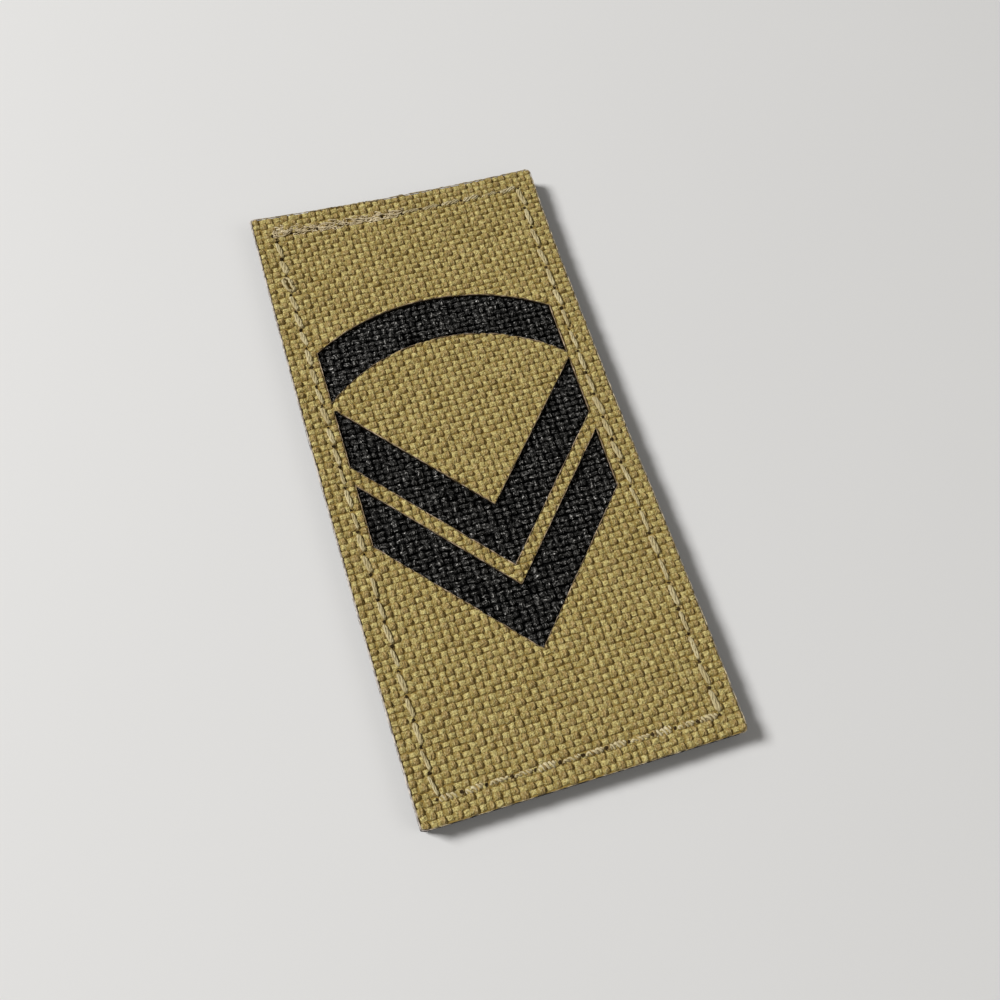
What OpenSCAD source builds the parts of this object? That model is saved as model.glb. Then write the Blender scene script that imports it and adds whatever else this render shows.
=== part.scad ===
// Rank patch: a tan woven face with three cut windows, a black woven layer that shows through
// them, and a hook tape underneath. It lies face up with its length along Y, in millimetres.

/* [Outline] */
// Width between the side edges at the corners
patch_w = 45; // [40:0.5:50]
// Length along the right side, corner to corner
patch_l = 93.6; // [86:0.2:103]
// How far the left side bows outwards at its middle
left_bow = 0.4; // [0:0.1:1]
// How far the right side bows inwards above its middle
right_bow = 0.5; // [0:0.1:1]
// How far the top edge dips at its middle
top_dip = 0.5; // [0:0.1:1]
// How much lower the top left corner sits than the top right one
top_left_drop = 0.3; // [0:0.1:1]
// How much higher the bottom left corner sits than the bottom right one
bottom_left_rise = 0.3; // [0:0.1:1]
// Radius at the four corners
corner_r = 0.6; // [0.3:0.1:2]

/* [Cloth] */
// Thickness of the woven face and of the black layer
cloth_t = 1; // [1:0.1:1.4]
// Thickness of the hook tape, hooks included
hook_t = 1.2; // [1:0.1:2.4]
// Gap between two layers
layer_gap = 0.05; // [0.05:0.01:0.1]

/* [Windows] */
// Width of all three windows, between their straight ends
window_w = 36; // [33:0.5:37]
// How far the windows sit left of the middle
window_shift = 0.25; // [0:0.05:0.5]
// Radius of the arc band's outer edge
arc_r = 34.2; // [33:0.1:35]
// Width of the arc band
arc_band_w = 6.8; // [6:0.1:7]
// Angle at which the chevron arms rise
chevron_angle = 47.7; // [45:0.1:48]
// Width of a chevron arm, square to its edges
chevron_band_w = 6.3; // [6:0.1:7]
// Width of the tan strip between the two chevrons
chevron_gap = 1.9; // [1.5:0.1:3]
// How far the point that the arc is struck from lies below the middle
point_drop = 7.15; // [6:0.05:8]

/* [Hidden] */

// Points along each edge, the corners left out
edge_steps = 12;
// Facets of the arc band's circles
arc_fn = 180;
// How steeply the right side flares at its top corner, and how softly it runs out below
flare_power = 6;
runout_power = 2;

half_w = patch_w / 2;
half_l = patch_l / 2;
inlay_z = hook_t + layer_gap;
face_z = inlay_z + cloth_t + layer_gap;

// Height of one chevron edge above the next, measured straight up
arm_rise = tan(chevron_angle);
band_drop = chevron_band_w / cos(chevron_angle);
gap_drop = chevron_gap / cos(chevron_angle);

// Each edge's departure from straight, with t from -1 at one end to 1 at the other
function even_bow(t) = 1 - t * t;
function right_profile(t) = t > 0 ? 1 - pow(t, flare_power) : pow(1 + t, runout_power);

// Positions along an edge, from -1 to 1, the ends left to the corners
function along(half) = [for (i = [0 : edge_steps]) (1 - corner_r / half) * (2 * i / edge_steps - 1)];

function left_x(y) = -half_w - left_bow * even_bow(y / half_l);
function right_x(y) = half_w - right_bow * right_profile(y / half_l);
function top_y(x) = half_l - top_dip * even_bow(x / half_w) - top_left_drop * (1 - x / half_w) / 2;
function bottom_y(x) = -half_l + bottom_left_rise * (1 - x / half_w) / 2;

// The middle of a corner's round, set in from the corner by what a quarter circle leaves
corner_in = corner_r * (1 - sqrt(0.5));
function corner(sx, sy) =
    let (y = sy * half_l, x = sx < 0 ? left_x(y) : right_x(y))
    [x - sx * corner_in, (sy < 0 ? bottom_y(x) : top_y(x)) - sy * corner_in];

// The outline, counter-clockwise from the bottom left corner
raw_outline = concat(
    [corner(-1, -1)], [for (t = along(half_w)) [t * half_w, bottom_y(t * half_w)]],
    [corner(1, -1)], [for (t = along(half_l)) [right_x(t * half_l), t * half_l]],
    [corner(1, 1)], [for (t = along(half_w)) [-t * half_w, top_y(-t * half_w)]],
    [corner(-1, 1)], [for (t = along(half_l)) [left_x(-t * half_l), -t * half_l]]
);

// The bows pull the outline off centre, so it is moved back over the origin
function mid_of(values) = (min(values) + max(values)) / 2;
centre = [mid_of([for (p = raw_outline) p[0]]), mid_of([for (p = raw_outline) p[1]])];

// One layer of the patch, cut to the outline
module layer(bottom_z, thickness) {
    translate([-centre[0], -centre[1], bottom_z])
        linear_extrude(thickness)
            polygon(raw_outline);
}

// The arc band, before its ends are cut straight
module arc_ring() {
    difference() {
        circle(r = arc_r, $fn = arc_fn);
        circle(r = arc_r - arc_band_w, $fn = arc_fn);
    }
}

// One chevron with its point at the bottom; the inner edge's point lies at the origin
module chevron() {
    side_y = arm_rise * window_w / 2;
    polygon([
        [0, 0], [window_w / 2, side_y], [window_w / 2, side_y - band_drop],
        [0, -band_drop], [-window_w / 2, side_y - band_drop], [-window_w / 2, side_y]
    ]);
}

// All three windows, measured from the point that the arc is struck from
module windows() {
    intersection() {
        arc_ring();
        translate([-window_w / 2, 0])
            square([window_w, arc_r + 1]);
    }
    chevron();
    translate([0, -band_drop - gap_drop])
        chevron();
}

// Hook tape on the underside
module hook_backing() {
    color("#2b2b2b")
        layer(0, hook_t);
}

// Black woven layer that shows through the windows
module inlay_panel() {
    color("#1c1c1e")
        layer(inlay_z, cloth_t);
}

// Tan woven face with the windows cut through
module face_panel() {
    color("#b59d58")
        difference() {
            layer(face_z, cloth_t);
            translate([-window_shift, -point_drop, face_z - 1])
                linear_extrude(cloth_t + 2)
                    windows();
        }
}

hook_backing();
inlay_panel();
face_panel();
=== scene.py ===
"""A woven rank patch: hook tape, a black layer and a tan face with cut windows, sewn round its edge."""

import math

import bmesh
import bpy
import numpy as np
from mathutils import Matrix, Vector, geometry, noise


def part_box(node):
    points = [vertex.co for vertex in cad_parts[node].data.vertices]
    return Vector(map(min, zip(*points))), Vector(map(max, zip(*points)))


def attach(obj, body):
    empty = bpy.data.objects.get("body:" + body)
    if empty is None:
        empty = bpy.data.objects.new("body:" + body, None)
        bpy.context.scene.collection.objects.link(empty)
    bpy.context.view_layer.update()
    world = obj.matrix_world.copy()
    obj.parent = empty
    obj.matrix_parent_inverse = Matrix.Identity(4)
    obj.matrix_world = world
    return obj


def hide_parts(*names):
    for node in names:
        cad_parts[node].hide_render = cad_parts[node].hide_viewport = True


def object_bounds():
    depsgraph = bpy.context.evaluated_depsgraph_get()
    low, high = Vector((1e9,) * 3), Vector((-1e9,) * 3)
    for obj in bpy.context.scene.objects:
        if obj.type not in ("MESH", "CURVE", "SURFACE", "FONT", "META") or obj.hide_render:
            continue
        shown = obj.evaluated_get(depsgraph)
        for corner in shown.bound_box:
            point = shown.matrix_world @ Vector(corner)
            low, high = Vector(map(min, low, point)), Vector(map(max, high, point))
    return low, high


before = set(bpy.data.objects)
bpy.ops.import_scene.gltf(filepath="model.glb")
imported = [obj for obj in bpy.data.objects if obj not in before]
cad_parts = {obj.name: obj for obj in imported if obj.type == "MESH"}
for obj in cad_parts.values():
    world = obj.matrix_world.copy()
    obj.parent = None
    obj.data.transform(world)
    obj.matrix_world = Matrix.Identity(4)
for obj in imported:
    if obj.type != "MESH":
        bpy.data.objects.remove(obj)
cad_low, cad_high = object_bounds()

MM = 0.001


# Hook tape
# The fastening under the patch: a black nylon ground, heat-cut to the patch's outline together
# with both cloths, and held by the border stitching.

HOOK_GROUND = 0.45 * MM
EDGE_STEP = 0.6 * MM
EDGE_ROUGHNESS = 0.07 * MM
NOISE_SEED = 5
EDGE_GRAIN = 0.8 * MM
MERGE_WITHIN = 0.001 * MM
RIB_PITCH = 0.5 * MM
PICK_PITCH = 0.6 * MM


class Wire:
    """A socket in a node tree. Arithmetic on it adds the maths nodes that work it out."""

    def __init__(self, net, socket):
        self.net = net
        self.socket = socket

    def maths(self, operation, *others):
        inputs = dict(enumerate((self,) + others))
        if self.socket.type == "VECTOR":
            return self.net.add("ShaderNodeVectorMath", {"operation": operation}, inputs)
        return self.net.add("ShaderNodeMath", {"operation": operation}, inputs)

    def reflected(self, operation, other):
        return self.net.add("ShaderNodeMath", {"operation": operation}, {0: other, 1: self})

    def output(self, name):
        return Wire(self.net, self.socket.node.outputs[name])

    def __add__(self, other):
        return self.maths("ADD", other)

    __radd__ = __add__

    def __sub__(self, other):
        return self.maths("SUBTRACT", other)

    def __rsub__(self, other):
        return self.reflected("SUBTRACT", other)

    def __mul__(self, other):
        if self.socket.type == "VECTOR" and not isinstance(other, tuple):
            return self.net.add("ShaderNodeVectorMath", {"operation": "SCALE"}, {0: self, 3: other})
        return self.maths("MULTIPLY", other)

    __rmul__ = __mul__

    def __truediv__(self, other):
        return self.maths("DIVIDE", other)

    def __rtruediv__(self, other):
        return self.reflected("DIVIDE", other)

    def __neg__(self):
        return self * -1

    def __gt__(self, other):
        return self.maths("GREATER_THAN", other)

    def __lt__(self, other):
        return self.maths("LESS_THAN", other)

    def least(self, other):
        return self.maths("MINIMUM", other)


class Net:
    """A material's or a modifier's node tree, and the few ways in which nodes are added to it."""

    def __init__(self, tree):
        self.tree = tree

    def add(self, kind, settings=None, inputs=None, out=0):
        """Adds a node: its settings first, then the value or link of each socket that is named."""
        node = self.tree.nodes.new(kind)
        for name, value in (settings or {}).items():
            setattr(node, name, value)
        for key, value in (inputs or {}).items():
            if isinstance(value, Wire):
                self.tree.links.new(value.socket, node.inputs[key])
            else:
                node.inputs[key].default_value = value
        return Wire(self, node.outputs[out])

    def split(self, vector):
        """The three numbers in a vector."""
        parts = self.add("ShaderNodeSeparateXYZ", inputs={0: vector})
        return parts, parts.output("Y"), parts.output("Z")

    def vector(self, x, y, z):
        return self.add("ShaderNodeCombineXYZ", inputs={0: x, 1: y, 2: z})

    def mix(self, factor, first, second):
        """A colour between two colours."""
        kind = {"data_type": "RGBA", "clamp_factor": True}
        return self.add("ShaderNodeMix", kind, {0: factor, 6: first, 7: second}, out=2)

    def noise(self, vector, scale, detail=2.0, roughness=0.5):
        """Smooth noise from 0 to 1. The scale is the number of lumps in a metre."""
        sizes = {"Vector": vector, "Scale": scale, "Detail": detail, "Roughness": roughness}
        return self.add("ShaderNodeTexNoise", {"noise_dimensions": "3D"}, sizes)

    def span(self, value, low, high):
        """0 below low, 1 above high, and smooth between. High may be the smaller of the two."""
        return self.add(
            "ShaderNodeMapRange", {"interpolation_type": "SMOOTHSTEP"}, {0: value, 1: low, 2: high}
        )

    def bump(self, height, strength, distance):
        sizes = {"Strength": strength, "Distance": distance, "Height": height}
        return self.add("ShaderNodeBump", inputs=sizes)

    def place(self):
        """Where a shaded point lies on the patch."""
        return self.add("ShaderNodeTexCoord").output("Object")

    def painted(self, name, out="Fac"):
        """In a material, a value that the mesh carries."""
        return self.add("ShaderNodeAttribute", {"attribute_name": name}, out=out)


def new_material(name):
    """An empty material and its net."""
    material = bpy.data.materials.new(name)
    material.use_nodes = True
    return material, Net(material.node_tree)


def feed(net, **inputs):
    """Sets or links sockets of the shader. An underscore in a name stands for a space."""
    shader = net.tree.nodes["Principled BSDF"]
    for name, value in inputs.items():
        socket = shader.inputs[name.replace("_", " ")]
        if isinstance(value, Wire):
            net.tree.links.new(value.socket, socket)
        else:
            socket.default_value = value


def new_piece(name, mesh):
    piece = bpy.data.objects.new(name, mesh)
    bpy.context.scene.collection.objects.link(piece)
    return piece


def cut_shape(node):
    """The flat shape that a cloth is cut to: the top face of its solid."""
    shape = bmesh.new()
    shape.from_mesh(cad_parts[node].data)
    bmesh.ops.remove_doubles(shape, verts=shape.verts, dist=MERGE_WITHIN)
    shape.normal_update()
    sides = [face for face in shape.faces if face.normal.z < 0.9]
    bmesh.ops.delete(shape, geom=sides, context="FACES")
    return shape


def rim_of(shape):
    return [edge for edge in shape.edges if len(edge.link_faces) == 1]


def divide_rim(shape, step):
    """Divides the cut edges into short steps, with the corners kept."""
    for edge in rim_of(shape):
        cuts = int(edge.calc_length() / step)
        if cuts:
            bmesh.ops.subdivide_edges(shape, edges=[edge], cuts=cuts)


def flat_mesh(name, shape, height):
    """The shape as a mesh that lies at one height."""
    for vert in shape.verts:
        vert.co.z = height
    mesh = bpy.data.meshes.new(name)
    shape.to_mesh(mesh)
    return mesh


def cloth_slab(name, shape, low, high, material):
    """The shape as a closed sheet with a top, a bottom and a rough cut edge."""
    slab = shape.copy()
    divide_rim(slab, EDGE_STEP)
    for vert in slab.verts:
        vert.co.z = high
    doubled = bmesh.ops.extrude_face_region(slab, geom=slab.faces[:], use_keep_orig=True)
    for item in doubled["geom"]:
        if isinstance(item, bmesh.types.BMVert):
            item.co.z = low
    uprights = [
        edge for edge in slab.edges if abs(edge.verts[0].co.z - edge.verts[1].co.z) > 0.5 * (high - low)
    ]
    middle = bmesh.ops.subdivide_edges(slab, edges=uprights, cuts=2)
    for item in middle["geom_inner"]:
        if isinstance(item, bmesh.types.BMVert):
            item.co += noise.noise_vector(item.co / EDGE_GRAIN) * EDGE_ROUGHNESS
    bmesh.ops.recalc_face_normals(slab, faces=slab.faces)
    mesh = bpy.data.meshes.new(name)
    slab.to_mesh(mesh)
    slab.free()
    mesh.materials.append(material)
    return new_piece(name, mesh)


def tape_material():
    """Black nylon ground: fine ribs along the tape, dull, a little dusty."""
    material, net = new_material("hook_tape_nylon")
    place = net.place()
    x, y, _ = net.split(place)
    ribs = (x * (2 * math.pi / RIB_PITCH)).maths("SINE") * 0.5 + 0.5
    picks = (y * (2 * math.pi / PICK_PITCH)).maths("SINE") * 0.5 + 0.5
    dust = net.noise(place, 400, 4)
    colour = net.mix(ribs * picks * dust, (0.008, 0.008, 0.009, 1), (0.035, 0.035, 0.036, 1))
    height = ribs * 0.6 + picks * 0.4 + dust * 0.3
    feed(
        net, Base_Color=colour, Roughness=0.62 + dust * 0.2, Specular_IOR_Level=0.3,
        Normal=net.bump(height, 0.6, 0.08 * MM),
    )
    return material


tape_low, tape_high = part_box("hook_backing")
# Without a seed the vector noise starts from the clock and differs from run to run.
noise.seed_set(NOISE_SEED)
tape_shape = cut_shape("hook_backing")
tape_bottom = tape_high[2] - HOOK_GROUND
tape = cloth_slab("hook_tape", tape_shape, tape_bottom, tape_high[2], tape_material())
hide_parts("hook_backing")
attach(tape, "root")


# Border seam
# One line of lockstitches sews all three layers together, 3 mm inside the edge. The needle pushes
# the yarns apart at each hole, and the top row is sewn over where the seam starts and ends.

SEAM_TOP_LEFT = Vector((-19.4, 43.45)) * MM
SEAM_TOP_RIGHT = Vector((19.8, 43.9)) * MM
SEAM_BOTTOM_LEFT = Vector((-19.55, -43.55)) * MM
SEAM_BOTTOM_RIGHT = Vector((19.55, -43.75)) * MM
OVERSEWN = [
    (Vector((-20.3, 44.1)) * MM, Vector((1.3, 43.95)) * MM, 6),
    (Vector((-19.9, 43.5)) * MM, Vector((0.4, 43.55)) * MM, 7),
    (Vector((-20.0, 44.55)) * MM, Vector((-12.6, 44.25)) * MM, 3),
    (Vector((-20.2, 43.75)) * MM, Vector((-0.6, 43.85)) * MM, 5),
]
LEFT_STITCHES = 26
RIGHT_STITCHES = 23
END_STITCHES = 12
LEFT_GROWTH = 0.05
LEFT_START = Vector((-19.4, 42.3)) * MM
HOLE_STRAY = 0.3 * MM
LEFT_BOW = 0.4 * MM
RIGHT_BOW = 0.5 * MM
TOP_DIP = 0.5 * MM
LEFT_SHORT = 0.3 * MM

half_width = (cad_high[0] - cad_low[0]) / 2
half_length = (cad_high[1] - cad_low[1]) / 2
face_low, face_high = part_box("face_panel")


def least(first, second):
    """The smaller of two numbers, or of a wire and a number."""
    return first.least(second) if isinstance(first, Wire) else min(first, second)


def as_it_lies(x, y):
    """Where a point of the straight cloth lies on the patch, whose edges bow and dip a little."""
    side = x / half_width
    end = y / half_length
    left = LEFT_BOW * (1 - end * end)
    right = RIGHT_BOW * least((1 + end) * (1 + end), 1) * (1 - end * end * end * end * end * end)
    top = (1 + end) * (1 + end) * -0.25
    bottom = (1 - end) * (1 - end) * 0.25
    lean = LEFT_SHORT * (1 - side) / 2
    shift_x = LEFT_BOW / 2 - left * (1 - side) / 2 - right * (1 + side) / 2
    shift_y = top * (TOP_DIP * (1 - side * side) + lean) + bottom * lean
    return x + shift_x, y + shift_y


def holes_between(start, end, stitches, growth=0.0):
    """The needle holes of one row, both ends included, a little uneven as a hand guides the cloth."""
    along = (end - start).normalized()
    aside = Vector((-along.y, along.x))
    holes = [start]
    for i in range(1, stitches):
        part = i / stitches
        stray = noise.noise_vector(Vector((i * 0.83, start.x * 300, start.y * 300)))
        holes.append(
            start.lerp(end, part * (1 - growth) + part * part * growth)
            + (along * stray.x + aside * stray.y * 0.3) * HOLE_STRAY
        )
    return [as_it_lies(*hole) for hole in holes + [end]]


def seam_mesh(name, rows, height):
    """Rows of needle holes as chains of edges, one edge for each stitch."""
    points, chains = [], []
    for row in rows:
        chains += [(len(points) + i, len(points) + i + 1) for i in range(len(row) - 1)]
        points += [(x, y, height) for x, y in row]
    mesh = bpy.data.meshes.new(name)
    mesh.from_pydata(points, chains, [])
    return mesh


left_row = holes_between(LEFT_START, SEAM_BOTTOM_LEFT, LEFT_STITCHES, LEFT_GROWTH)
right_row = holes_between(SEAM_BOTTOM_RIGHT, SEAM_TOP_RIGHT, RIGHT_STITCHES)
top_row = holes_between(SEAM_TOP_RIGHT, SEAM_TOP_LEFT, END_STITCHES)
bottom_row = holes_between(SEAM_BOTTOM_LEFT, SEAM_BOTTOM_RIGHT, END_STITCHES)
oversewn_rows = [holes_between(*row) for row in OVERSEWN]
all_rows = [left_row, bottom_row, right_row, top_row, oversewn_rows[1]]
seam_line = new_piece("seam_line", seam_mesh("seam_line", all_rows, face_high[2]))
under_seam_line = new_piece("under_seam_line", seam_mesh("under_seam_line", all_rows, tape_bottom))


# Hooks
# Black nylon monofilament woven into the tape and cut open, so that each end is a small bent
# hook. They stand in close rows that face to and fro by turns, and the patch rests on them.

HOOK_WIRE = 0.09 * MM
HOOK_BEND = 0.2 * MM
HOOK_SIDES = 5
HOOK_ROOT = 0.1 * MM
HOOK_TURNS = (0, 0.25, 0.5, 0.75, 0.95)
HOOK_CLEAR = 0.01 * MM
HOOK_COLUMNS = 31
HOOK_ROWS = 75
HOOK_STEP_X = 1.45 * MM
HOOK_STEP_Y = 1.23 * MM
HOOK_MARGIN = 0.6 * MM
HOOK_SEAM_GAP = 0.8 * MM
HOOK_STRAY_X = 0.08 * MM
HOOK_STRAY_Y = 0.1 * MM
ROW_NUMBERS = 97


def bent_hook(name, stem):
    """One hook that hangs down from the origin and bends round towards +Y."""
    route = [(0, HOOK_ROOT, math.pi), (0, -stem * 0.5, math.pi)]
    for turn in HOOK_TURNS:
        angle = math.pi * turn
        drop = -stem - HOOK_BEND * math.sin(angle)
        route.append((HOOK_BEND * (1 - math.cos(angle)), drop, math.pi + angle))
    verts = []
    for y, z, angle in route:
        side = Vector((0, math.cos(angle), math.sin(angle)))
        for i in range(HOOK_SIDES):
            round_angle = 2 * math.pi * i / HOOK_SIDES
            across = Vector((1, 0, 0)) * math.cos(round_angle) + side * math.sin(round_angle)
            verts.append(Vector((0, y, z)) + across * HOOK_WIRE)
    faces = []
    for ring in range(len(route) - 1):
        for i in range(HOOK_SIDES):
            near = ring * HOOK_SIDES
            following = (i + 1) % HOOK_SIDES
            faces.append((near + i, near + following, near + HOOK_SIDES + following, near + HOOK_SIDES + i))
    last = (len(route) - 1) * HOOK_SIDES
    faces.append(tuple(range(HOOK_SIDES)))
    faces.append(tuple(last + i for i in range(HOOK_SIDES)))
    mesh = bpy.data.meshes.new(name)
    mesh.from_pydata(verts, [], faces)
    solid = bmesh.new()
    solid.from_mesh(mesh)
    bmesh.ops.recalc_face_normals(solid, faces=solid.faces)
    solid.to_mesh(mesh)
    solid.free()
    mesh.shade_smooth()
    return new_piece(name, mesh)


def new_tree(name, **inputs):
    """An empty modifier tree with named inputs, its net, and a wire for each input."""
    tree = bpy.data.node_groups.new(name, "GeometryNodeTree")
    tree.interface.new_socket("Geometry", in_out="OUTPUT", socket_type="NodeSocketGeometry")
    for label, kind in [("geometry", "Geometry")] + list(inputs.items()):
        tree.interface.new_socket(label, in_out="INPUT", socket_type="NodeSocket" + kind)
    net = Net(tree)
    group = tree.nodes.new("NodeGroupInput")
    return net, {socket.name: Wire(net, socket) for socket in group.outputs if socket.name}


def end_tree(net, geometry, material):
    """Makes instances real, gives the result its material and ends the tree."""
    real = net.add("GeometryNodeRealizeInstances", inputs={0: geometry})
    coated = net.add("GeometryNodeSetMaterial", inputs={0: real, 2: material})
    output = net.tree.nodes.new("NodeGroupOutput")
    net.tree.links.new(coated.socket, output.inputs[0])


def grow(name, start, net, **values):
    """Runs a modifier tree on a mesh and returns what it makes as a plain object."""
    seedling = new_piece(name + "_start", start)
    modifier = seedling.modifiers.new(name, "NODES")
    modifier.node_group = net.tree
    for item in net.tree.interface.items_tree:
        if item.in_out == "INPUT" and item.name in values:
            modifier[item.identifier] = values[item.name]
    bpy.context.view_layer.update()
    grown = seedling.evaluated_get(bpy.context.evaluated_depsgraph_get())
    mesh = bpy.data.meshes.new_from_object(grown)
    mesh.name = name
    seedling.modifiers.remove(modifier)
    bpy.data.objects.remove(seedling)
    return new_piece(name, mesh)


def mark(net, geometry, domain="POINT", kind="FLOAT", **values):
    """Stores values on a geometry under their names."""
    for name, value in values.items():
        settings = {"data_type": kind, "domain": domain}
        geometry = net.add("GeometryNodeStoreNamedAttribute", settings, {0: geometry, 2: name, 3: value})
    return geometry


def marked(net, name, kind="FLOAT"):
    """In a modifier, a value that was stored on the geometry."""
    return net.add("GeometryNodeInputNamedAttribute", {"data_type": kind}, {0: name})


def chance(net, low, high, number, seed):
    """A random value that is always the same for one number and seed."""
    sides = {2: low, 3: high, 7: number, 8: seed}
    return net.add("FunctionNodeRandomValue", {"data_type": "FLOAT"}, sides, out=1)


def position(net):
    """In a modifier, where a point lies."""
    return net.add("GeometryNodeInputPosition")


def moved(net, geometry, offset):
    return net.add("GeometryNodeSetPosition", inputs={0: geometry, 3: offset})


def shape_of(net, model):
    """The shape of an object that the modifier is given."""
    return net.add("GeometryNodeObjectInfo", inputs={0: model}, out="Geometry")


def lattice(net, given):
    """Points in columns and rows over the whole patch, each marked with its column and row."""
    width = given["column_pitch"] * (given["columns"] - 1)
    length = given["row_pitch"] * (given["rows"] - 1)
    sockets = {0: width, 1: length, 2: given["columns"], 3: given["rows"]}
    grid = net.add("GeometryNodeMeshGrid", inputs=sockets)
    points = net.add("GeometryNodeMeshToPoints", {"mode": "VERTICES"}, {0: grid})
    x, y, _ = net.split(position(net))
    column = (x / given["column_pitch"] + given["columns"] / 2 - 0.5).maths("ROUND")
    row = (y / given["row_pitch"] + given["rows"] / 2 - 0.5).maths("ROUND")
    return mark(net, points, column=column, row=row)


def bounds_of_cut(net, cloth):
    """The edges that bound a flat shape, and its height."""
    neighbours = net.add("GeometryNodeInputMeshEdgeNeighbors")
    rim = net.add("GeometryNodeSeparateGeometry", {"domain": "EDGE"}, {0: cloth, 1: neighbours < 1.5})
    level = net.split(net.add("GeometryNodeBoundBox", inputs={0: cloth}).output("Max"))[2]
    return rim, level


def over_cloth(net, cloth, level):
    """1 where a point lies over a flat shape, and the point's foot on the shape's plane."""
    x, y, _ = net.split(position(net))
    ray = {0: cloth, 2: net.vector(x, y, level + 1 * MM), 3: (0.0, 0.0, -1.0), 4: 2 * MM}
    return net.add("GeometryNodeRaycast", inputs=ray), net.vector(x, y, level)


def distance_to(net, target, place, element="EDGES"):
    sockets = {0: target, 2: place}
    return net.add("GeometryNodeProximity", {"target_element": element}, sockets, out=1)


def hook_tree():
    """Sets a hook at every point of the lattice that lies clear of the edge and of the seam."""
    net, given = new_tree(
        "hook_rows", hook="Object", seam="Object", columns="Int", rows="Int", column_pitch="Float",
        row_pitch="Float", margin="Float", seam_gap="Float", seed="Int", nylon="Material",
    )
    rim, level = bounds_of_cut(net, given["geometry"])
    points = lattice(net, given)
    column, row = marked(net, "column"), marked(net, "row")
    cell = column + row * ROW_NUMBERS

    def scatter(low, high, salt):
        return chance(net, low, high, cell, given["seed"] + salt)

    aside = (row / 2).maths("FRACT") * given["column_pitch"]
    offset = net.vector(
        aside - 0.25 * given["column_pitch"] + scatter(-HOOK_STRAY_X, HOOK_STRAY_X, 1),
        scatter(-HOOK_STRAY_Y, HOOK_STRAY_Y, 2), level,
    )
    points = moved(net, points, offset)
    hit, foot = over_cloth(net, given["geometry"], level)
    seam = shape_of(net, given["seam"])
    clear_of_rim = distance_to(net, rim, foot) > given["margin"]
    clear = clear_of_rim * (distance_to(net, seam, foot) > given["seam_gap"])
    facing = (column / 2).maths("FRACT") * (2 * math.pi) + scatter(-0.3, 0.3, 3)
    lean = net.vector(scatter(-0.06, 0.06, 4), scatter(-0.12, 0.12, 5), facing)
    turned = net.add("FunctionNodeEulerToRotation", inputs={0: lean})
    sockets = {0: points, 1: hit * clear > 0.5, 2: shape_of(net, given["hook"]), 5: turned}
    end_tree(net, net.add("GeometryNodeInstanceOnPoints", inputs=sockets), given["nylon"])
    return net


def hook_material():
    """Smooth black nylon, a little see-through at the tips and so not quite black."""
    material, net = new_material("hook_nylon")
    mottle = net.noise(net.place(), 900, 3)
    colour = net.mix(mottle, (0.01, 0.01, 0.011, 1), (0.03, 0.03, 0.032, 1))
    feed(net, Base_Color=colour, Roughness=0.28 + mottle * 0.2)
    return material


hook_stem = tape_bottom - tape_low[2] - HOOK_BEND - HOOK_WIRE - HOOK_CLEAR
single_hook = bent_hook("single_hook", hook_stem)
hooks = grow(
    "tape_hooks", flat_mesh("hook_field", tape_shape, tape_bottom), hook_tree(), hook=single_hook,
    seam=under_seam_line, columns=HOOK_COLUMNS, rows=HOOK_ROWS, column_pitch=HOOK_STEP_X,
    row_pitch=HOOK_STEP_Y, margin=HOOK_MARGIN, seam_gap=HOOK_SEAM_GAP, seed=11, nylon=hook_material(),
)
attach(hooks, "root")


# Black layer
# A heavy plain weave in black lies under the face and shows through its windows. Flat yarns of
# loose filaments cross, and each crossing stands up as a crown of three loose strands.

INLAY_SWELL = 0.2 * MM
COLUMN_PITCH = 1.10 * MM
ROW_PITCH = 0.89 * MM
COLUMNS = 43
ROWS = 109
WEFT_SHIFT = 0.08 * MM
COLUMN_STRAY = 0.05 * MM
ROW_STRAY = 0.04 * MM
CROWN_STRAY = 0.05 * MM
CLOTH_DRIFT = 0.5 * MM
NOISE_SHIFT = 60 * MM
CROWN_FOOT = 0.2 * MM
KEEP_REACH = 0.3 * MM
TRIM_SLACK = 0.03 * MM
NEEDLE_REACH = 0.6 * MM
GROOVE_REACH = 0.75 * MM
GROOVE_FLOOR = 0.1 * MM
OUTLINE_MARGIN = 1.4 * MM
OUTLINE_BLEND = 0.2 * MM
BLACK_CROWN = {"flatness": 2.4, "strands": 3, "steps": 4}
BLACK_WARP_CROWN = BLACK_CROWN | {
    "half_across": 0.62 * MM, "half_along": 0.60 * MM, "rise": 0.50 * MM, "bulge": 0.25,
    "strand_depth": 0.26 * MM,
}
BLACK_WEFT_CROWN = BLACK_CROWN | {
    "half_across": 0.47 * MM, "half_along": 0.84 * MM, "rise": 0.32 * MM, "bulge": 0.15,
    "strand_depth": 0.16 * MM,
}
BLACK_SWAY = 0.22
BLACK_LEAST = 0.74
BLACK_LUMPS = 0.34 * MM
BLACK_STRAND = 0.46 * MM


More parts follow.
